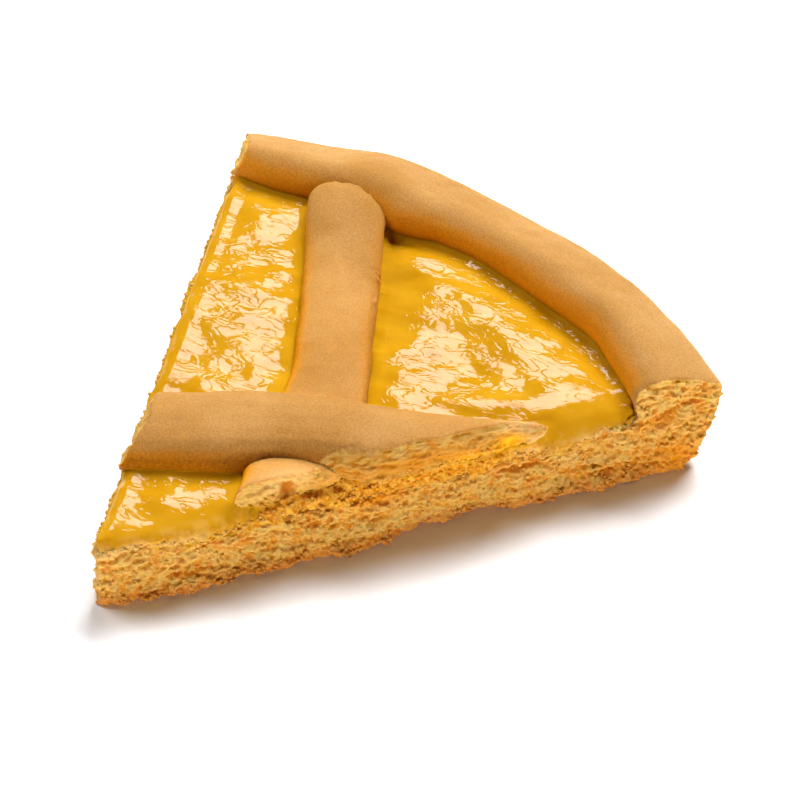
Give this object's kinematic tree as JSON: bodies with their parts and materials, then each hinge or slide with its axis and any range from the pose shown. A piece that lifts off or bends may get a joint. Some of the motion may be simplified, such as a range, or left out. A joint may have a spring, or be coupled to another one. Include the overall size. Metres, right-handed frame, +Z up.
{
  "type": "slice of lemon lattice tart",
  "caption": "Wedge of lemon tart: thick shortcrust base with a rolled rim, glossy lemon custard and crossing lattice strips, cut faces showing the crumb.",
  "frame": {"origin": "middle of the slice's bounding box, on the surface that it stands on", "axes": "+Z up, +Y from the slice's point towards the middle of its rim, +X to the right of that, across the slice"},
  "size_m": [0.1304, 0.1288, 0.0257],
  "materials": {
    "baked_crust": "baked shortcrust, satin on the skin and crumbly where it is cut",
    "baked_strip": "baked shortcrust with a smooth satin skin",
    "custard": "glossy lemon custard with a finely wrinkled skin"
  },
  "bodies": {
    "root": {"pastry_crust": "baked_crust", "lemon_custard": "custard", "lattice_strip_lower": "baked_strip", "lattice_strip_upper": "baked_strip"}
  },
  "joints": []
}
